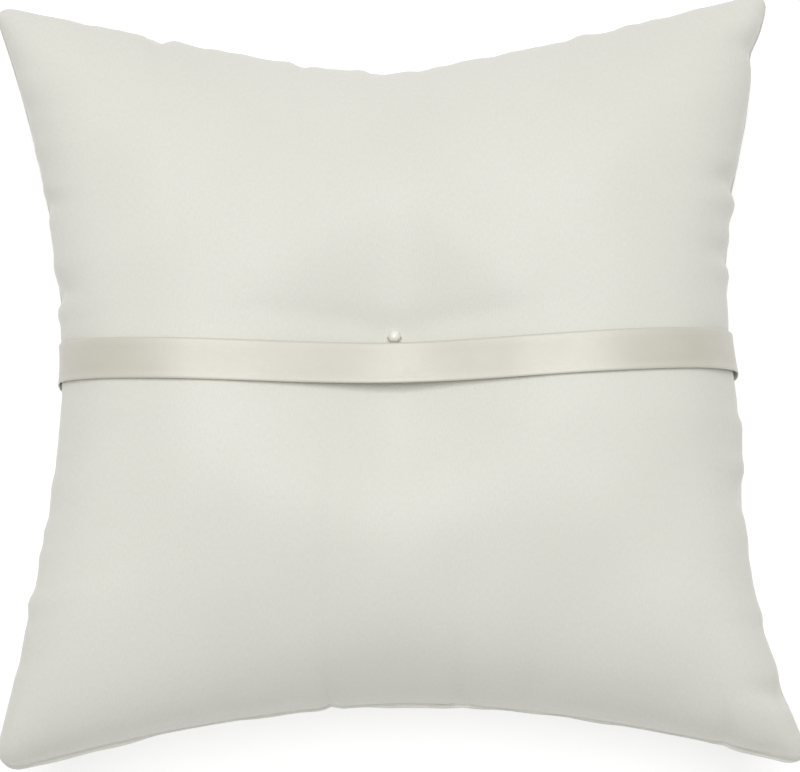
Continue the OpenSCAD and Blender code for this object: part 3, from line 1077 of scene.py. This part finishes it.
class Nodes:
    """Short calls for a material's nodes. A value is a number, a colour or another node's output."""

    def __init__(self, name, color, roughness):
        self.material = bpy.data.materials.new(name)
        self.material.use_nodes = True
        self.tree = self.material.node_tree
        self.shader = self.tree.nodes["Principled BSDF"]
        self.set("Base Color", (*color, 1))
        self.set("Roughness", roughness)

    def feed(self, node, socket, value):
        if isinstance(value, bpy.types.NodeSocket):
            self.tree.links.new(value, node.inputs[socket])
        else:
            node.inputs[socket].default_value = value

    def set(self, socket, value):
        self.feed(self.shader, socket, value)

    def add(self, kind, values=(), **settings):
        """Adds a node with its settings and a value for each named socket, and gives its outputs."""
        node = self.tree.nodes.new("ShaderNode" + kind)
        for name, setting in settings.items():
            setattr(node, name, setting)
        for socket, value in dict(values).items():
            self.feed(node, socket, value)
        return node.outputs

    def pattern(self):
        """The place on the flat cloth, in metres."""
        return self.add("UVMap", uv_map="pattern")["UV"]

    def place(self):
        return self.add("TexCoord")["Object"]

    def noise(self, vector, scale, detail=2.0, roughness=0.5):
        scaled = self.add("VectorMath", {0: vector, 1: scale}, operation="MULTIPLY")[0]
        values = {"Vector": scaled, "Scale": 1.0, "Detail": detail, "Roughness": roughness}
        return self.add("TexNoise", values)["Fac"]

    def math(self, operation, *values):
        return self.add("Math", enumerate(values), operation=operation)[0]

    def parts(self, vector):
        return self.add("SeparateXYZ", {0: vector})

    def spread(self, value, low=0.35, high=0.65, to_low=0.0, to_high=1.0):
        return self.add("MapRange", enumerate((value, low, high, to_low, to_high)))[0]

    def mix(self, share, a, b):
        a, b = ((*color, 1) if isinstance(color, tuple) else color for color in (a, b))
        return self.add("Mix", {0: share, 6: a, 7: b}, data_type="RGBA")[2]

    def bump(self, height, distance, strength=1.0, **below):
        values = {"Height": height, "Distance": distance, "Strength": strength}
        return self.add("Bump", values | below)[0]


def per_mm(x, y, z=0.0):
    """A texture scale, in repeats per millimetre, for a vector in metres."""
    return (x / MM, y / MM, z / MM)


def cover_satin():
    """Heavy ivory satin: long warp floats over a fine weft, a soft sheen, a little seam wear."""
    m = Nodes("cover_satin", (0.768, 0.766, 0.702), 0.42)
    cloth = m.pattern()
    floats = m.noise(cloth, per_mm(2.1, 0.7), 2.0, 0.6)
    weft = m.noise(cloth, per_mm(0.8, 2.2), 2.0, 0.6)
    weave = m.math("ADD", m.math("MULTIPLY", floats, 0.65), m.math("MULTIPLY", weft, 0.35))
    slubs = m.noise(cloth, per_mm(0.5, 0.04), 1.0, 0.5)
    mottle = m.noise(m.place(), per_mm(0.022, 0.022, 0.022), 3.0, 0.5)
    tone = m.mix(m.spread(mottle), (0.755, 0.753, 0.69), (0.78, 0.778, 0.715))
    tone = m.mix(m.spread(weave, to_low=0.3, to_high=0.0), tone, (0.65, 0.64, 0.57))
    parts = m.parts(cloth)
    edge = m.math("MAXIMUM", m.math("ABSOLUTE", parts[0]), m.math("ABSOLUTE", parts[1]))
    worn = m.spread(edge, CUT / 2 - 2 * MM, CUT / 2, 0.0, 1.0)
    worn = m.math("MULTIPLY", worn, m.noise(cloth, per_mm(0.35, 0.35), 2.0, 0.6))
    m.set("Base Color", m.mix(worn, tone, (0.84, 0.83, 0.77)))
    rough = m.spread(weave, to_low=0.48, to_high=0.38)
    m.set("Roughness", m.math("ADD", rough, m.math("MULTIPLY", worn, 0.12)))
    fine = m.bump(weave, 0.09 * MM, 0.8)
    m.set("Normal", m.bump(slubs, 0.04 * MM, 0.4, Normal=fine))
    m.set("Sheen Weight", 0.12)
    m.set("Sheen Roughness", 0.45)
    m.set("Sheen Tint", (1.0, 0.98, 0.92, 1))
    m.set("Specular IOR Level", 0.18)
    return m.material


def ribbon_satin():
    """Narrow woven satin ribbon: fine ribs across, a closer selvedge along each edge, more gloss."""
    m = Nodes("ribbon_satin", (0.67, 0.645, 0.575), 0.36)
    cloth = m.pattern()
    parts = m.parts(cloth)
    floats = m.noise(cloth, per_mm(0.5, 4.2), 1.5, 0.55)
    picks = m.math("SINE", m.math("MULTIPLY", parts[0], 2 * math.pi / (0.62 * MM)))
    picks = m.spread(picks, -1, 1, 0, 1)
    across = m.math("ABSOLUTE", parts[1])
    from_line = m.math("ABSOLUTE", m.math("SUBTRACT", across, 3.9 * MM))
    selvedge = m.spread(from_line, 0.1 * MM, 0.34 * MM, 1.0, 0.0)
    border = m.spread(across, 2.9 * MM, 3.9 * MM, 0.0, 1.0)
    ticks = m.math("MULTIPLY", selvedge, picks)
    patches = m.noise(cloth, per_mm(0.06, 0.12), 2.0, 0.5)
    tone = m.mix(m.spread(patches), (0.605, 0.585, 0.50), (0.635, 0.615, 0.53))
    tone = m.mix(m.spread(floats, 0.3, 0.7, 0.12, 0.0), tone, (0.48, 0.45, 0.38))
    tone = m.mix(m.math("MULTIPLY", border, 0.25), tone, (0.72, 0.70, 0.61))
    tone = m.mix(m.math("MULTIPLY", selvedge, 0.3), tone, (0.50, 0.48, 0.39))
    m.set("Base Color", m.mix(m.math("MULTIPLY", ticks, 0.3), tone, (0.86, 0.84, 0.76)))
    m.set("Roughness", m.spread(floats, 0.3, 0.7, 0.48, 0.40))
    height = m.math("ADD", m.math("MULTIPLY", floats, 0.5), m.math("MULTIPLY", picks, 0.25))
    m.set("Normal", m.bump(m.math("ADD", height, m.math("MULTIPLY", ticks, 0.6)), 0.03 * MM, 0.7))
    m.set("Sheen Weight", 0.1)
    m.set("Sheen Roughness", 0.35)
    m.set("IOR", 1.8)
    m.set("Specular IOR Level", 0.5)
    return m.material


def sewing_thread():
    """Twisted ivory thread with a few loose hairs' worth of roughness."""
    m = Nodes("sewing_thread", (0.84, 0.82, 0.75), 0.6)
    place = m.place()
    fibres = m.noise(place, per_mm(7, 7, 7), 2.0, 0.6)
    tone = m.spread(fibres, 0.3, 0.7)
    m.set("Base Color", m.mix(tone, (0.78, 0.76, 0.68), (0.88, 0.86, 0.80)))
    m.set("Roughness", m.spread(fibres, 0.3, 0.7, 0.7, 0.52))
    m.set("Normal", m.bump(fibres, 0.03 * MM, 0.8))
    m.set("Sheen Weight", 0.35)
    m.set("Sheen Roughness", 0.5)
    return m.material


def imitation_pearl():
    """A pearl's lacquer: cream, with a painted pink and green sheen at grazing angles, under a clear
    coat.
    """
    m = Nodes("imitation_pearl", (0.90, 0.86, 0.76), 0.3)
    facing = m.add("LayerWeight", {"Blend": 0.35})["Facing"]
    clouds = m.noise(m.place(), per_mm(0.7, 0.7, 0.7), 3.0, 0.5)
    body = m.mix(m.spread(clouds), (0.92, 0.88, 0.78), (0.95, 0.92, 0.84))
    # painted sheen: pink and green tints mixed in towards grazing angles stand in for the pearl's
    # iridescent lustre
    painted_sheen_tint = m.mix(clouds, (0.92, 0.85, 0.82), (0.86, 0.90, 0.85))
    m.set("Base Color", m.mix(facing, body, painted_sheen_tint))
    m.set("Roughness", m.spread(clouds, 0.3, 0.7, 0.28, 0.36))
    m.set("Normal", m.bump(m.noise(m.place(), per_mm(3, 3, 3), 2.0, 0.5), 0.01 * MM, 0.4))
    m.set("Coat Weight", 0.9)
    m.set("Coat Roughness", 0.08)
    m.set("Subsurface Weight", 0.15)
    m.set("Subsurface Radius", (0.001, 0.0008, 0.0006))
    return m.material


def polyester_fibre():
    """White crimped fibre filling."""
    m = Nodes("polyester_fibre", (0.86, 0.86, 0.86), 0.85)
    place = m.place()
    tufts = m.noise(place, per_mm(0.25, 0.25, 0.25), 4.0, 0.7)
    strands = m.noise(place, per_mm(2.5, 2.5, 2.5), 3.0, 0.7)
    tone = m.spread(tufts, 0.3, 0.7)
    m.set("Base Color", m.mix(tone, (0.74, 0.74, 0.75), (0.90, 0.90, 0.90)))
    m.set("Roughness", m.spread(strands, 0.3, 0.7, 0.95, 0.75))
    m.set("Normal", m.bump(strands, 0.3 * MM, 0.9, Normal=m.bump(tufts, 1.5 * MM, 0.8)))
    m.set("Sheen Weight", 0.5)
    return m.material


def studio_white():
    """The pale floor, bright enough to lose most of its shading, as on a light table."""
    m = Nodes("studio_white", (0.55, 0.55, 0.55), 0.9)
    grain = m.noise(m.place(), per_mm(0.02, 0.02, 0.02), 2.0, 0.5)
    tone = m.spread(grain)
    m.set("Base Color", m.mix(tone, (0.545, 0.545, 0.545), (0.555, 0.555, 0.555)))
    m.set("Emission Color", (1, 1, 1, 1))
    m.set("Emission Strength", 0.58)
    m.set("Specular IOR Level", 0.1)
    return m.material


# ---- Assembly --------------------------------------------------------

def build_pillow():
    satin = cover_satin()
    ribbon_cloth = ribbon_satin()
    thread = sewing_thread()

    front, back, out, lines = shape_cover()
    front_cover = cover_panel("front_cover", front, out, lines, 1, satin)
    back_cover = cover_panel("back_cover", back, out, lines, -1, satin)
    filling = fibre_filling(front, back, lines, polyester_fibre())
    seam = seam_stitches(front, back, out, thread)
    closing = closing_stitches(front, back, out, thread)
    tuft = tuft_thread(thread)
    bead = pearl_bead(imitation_pearl())
    band, length = ribbon_band(cover_tree([front_cover, back_cover]), ribbon_cloth)
    join = ribbon_stitches(thread)

    stands_for = [
        (front_cover, "front_panel", "cover_satin"),
        (back_cover, "back_panel", "cover_satin"),
        (filling, "fibre_fill", "polyester_fibre"),
        (seam, "seam_thread", "sewing_thread"),
        (closing, "closing_thread", "sewing_thread"),
        (tuft, "tuft_thread", "sewing_thread"),
        (bead, "front_pearl", "imitation_pearl"),
        (band, "ribbon_band", "ribbon_satin"),
        (join, "ribbon_join_thread", "sewing_thread"),
    ]
    for piece, node, slot in stands_for:
        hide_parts(node)


def add_floor():
    mesh = bpy.data.meshes.new("floor")
    half = 3.0
    corners = [(-half, -half, 0), (half, -half, 0), (half, half, 0), (-half, half, 0)]
    mesh.from_pydata(corners, [], [(0, 1, 2, 3)])
    mesh.materials.append(studio_white())
    floor = add_object("floor", mesh)
    floor.location.z = -0.1 * MM


SOFTBOX_PLACE = Vector((-0.03, 0.28, 1.48))
SOFTBOX_SIZE = (1.0, 1.3)
SOFTBOX_POWER = 17.9         # watts
ROOM_BRIGHTNESS = 0.30


def add_lights():
    """One large softbox over the pillow's top edge, and an even white room."""
    world = bpy.data.worlds.new("studio")
    world.use_nodes = True
    background = world.node_tree.nodes["Background"]
    background.inputs["Color"].default_value = (1.0, 1.0, 1.0, 1)
    background.inputs["Strength"].default_value = ROOM_BRIGHTNESS
    bpy.context.scene.world = world

    lamp = bpy.data.lights.new("key", "AREA")
    lamp.shape = "RECTANGLE"
    lamp.size, lamp.size_y = SOFTBOX_SIZE
    lamp.energy = SOFTBOX_POWER
    softbox = add_object("key", lamp)
    softbox.location = SOFTBOX_PLACE
    aim = Vector((0, 0, SEAM_Z)) - SOFTBOX_PLACE
    softbox.rotation_euler = aim.to_track_quat("-Z", "Y").to_euler()


CAMERA_ELEVATION = 81
CAMERA_DISTANCE = 0.769
CAMERA_LENS = 135
CAMERA_ROLL = 1.0            # degrees; turns the picture of the pillow anticlockwise
CAMERA_SHIFT = (0.006, -0.004)


def add_camera():
    camera = bpy.data.cameras.new("camera")
    camera.lens = CAMERA_LENS
    camera.clip_start = 0.01
    camera.shift_x, camera.shift_y = CAMERA_SHIFT
    holder = add_object("camera", camera)
    elevation = math.radians(CAMERA_ELEVATION)
    look = Vector((0, -math.cos(elevation), math.sin(elevation)))
    holder.location = Vector((0, 0, SEAM_Z)) + CAMERA_DISTANCE * look
    aim = look.to_track_quat("Z", "Y").to_matrix().to_4x4()
    roll = Matrix.Rotation(math.radians(-CAMERA_ROLL), 4, "Z")
    holder.rotation_euler = (aim @ roll).to_euler()
    bpy.context.scene.camera = holder


build_pillow()
add_floor()
add_lights()
add_camera()
bpy.context.scene.view_settings.view_transform = "Standard"
